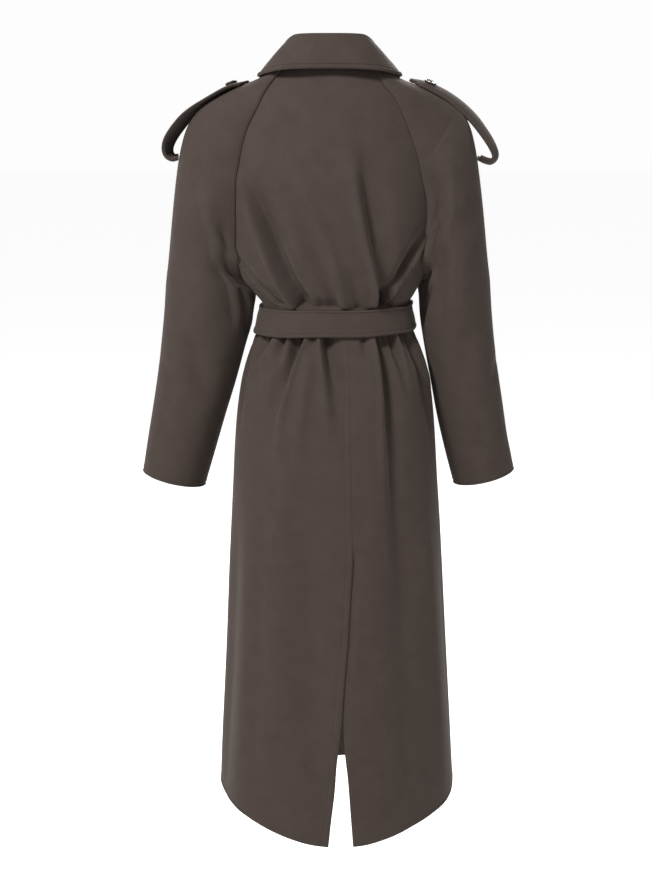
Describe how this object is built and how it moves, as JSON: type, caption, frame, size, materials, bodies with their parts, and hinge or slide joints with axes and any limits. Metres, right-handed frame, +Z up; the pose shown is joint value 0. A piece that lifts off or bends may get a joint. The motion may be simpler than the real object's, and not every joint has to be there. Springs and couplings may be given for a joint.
{
  "type": "long coat",
  "caption": "Long belted wool coat with raglan sleeves, a turned-down collar, looped shoulder straps and a back vent, worn and hollow.",
  "frame": {"origin": "middle of the neck base, where the wearer's shoulders carry the coat", "axes": "+Z up, +Y towards the wearer's back, +X towards the wearer's left"},
  "size_m": [0.615, 0.3563, 1.2765],
  "materials": {
    "wool": "matt felted wool cloth with a soft nap",
    "button": "dark satin"
  },
  "bodies": {
    "root": {"back_bodice": "wool", "skirt_back_left": "wool", "skirt_back_right": "wool", "front_left": "wool", "front_right": "wool", "lapel_left": "wool", "lapel_right": "wool", "sleeve_left": "wool", "sleeve_right": "wool", "collar_stand": "wool", "collar_fall": "wool", "epaulette_left": "wool", "epaulette_right": "wool", "epaulette_button_left": "button", "epaulette_button_right": "button", "belt": "wool", "belt_knot": "wool", "belt_end_left": "wool", "belt_end_right": "wool"}
  },
  "joints": []
}
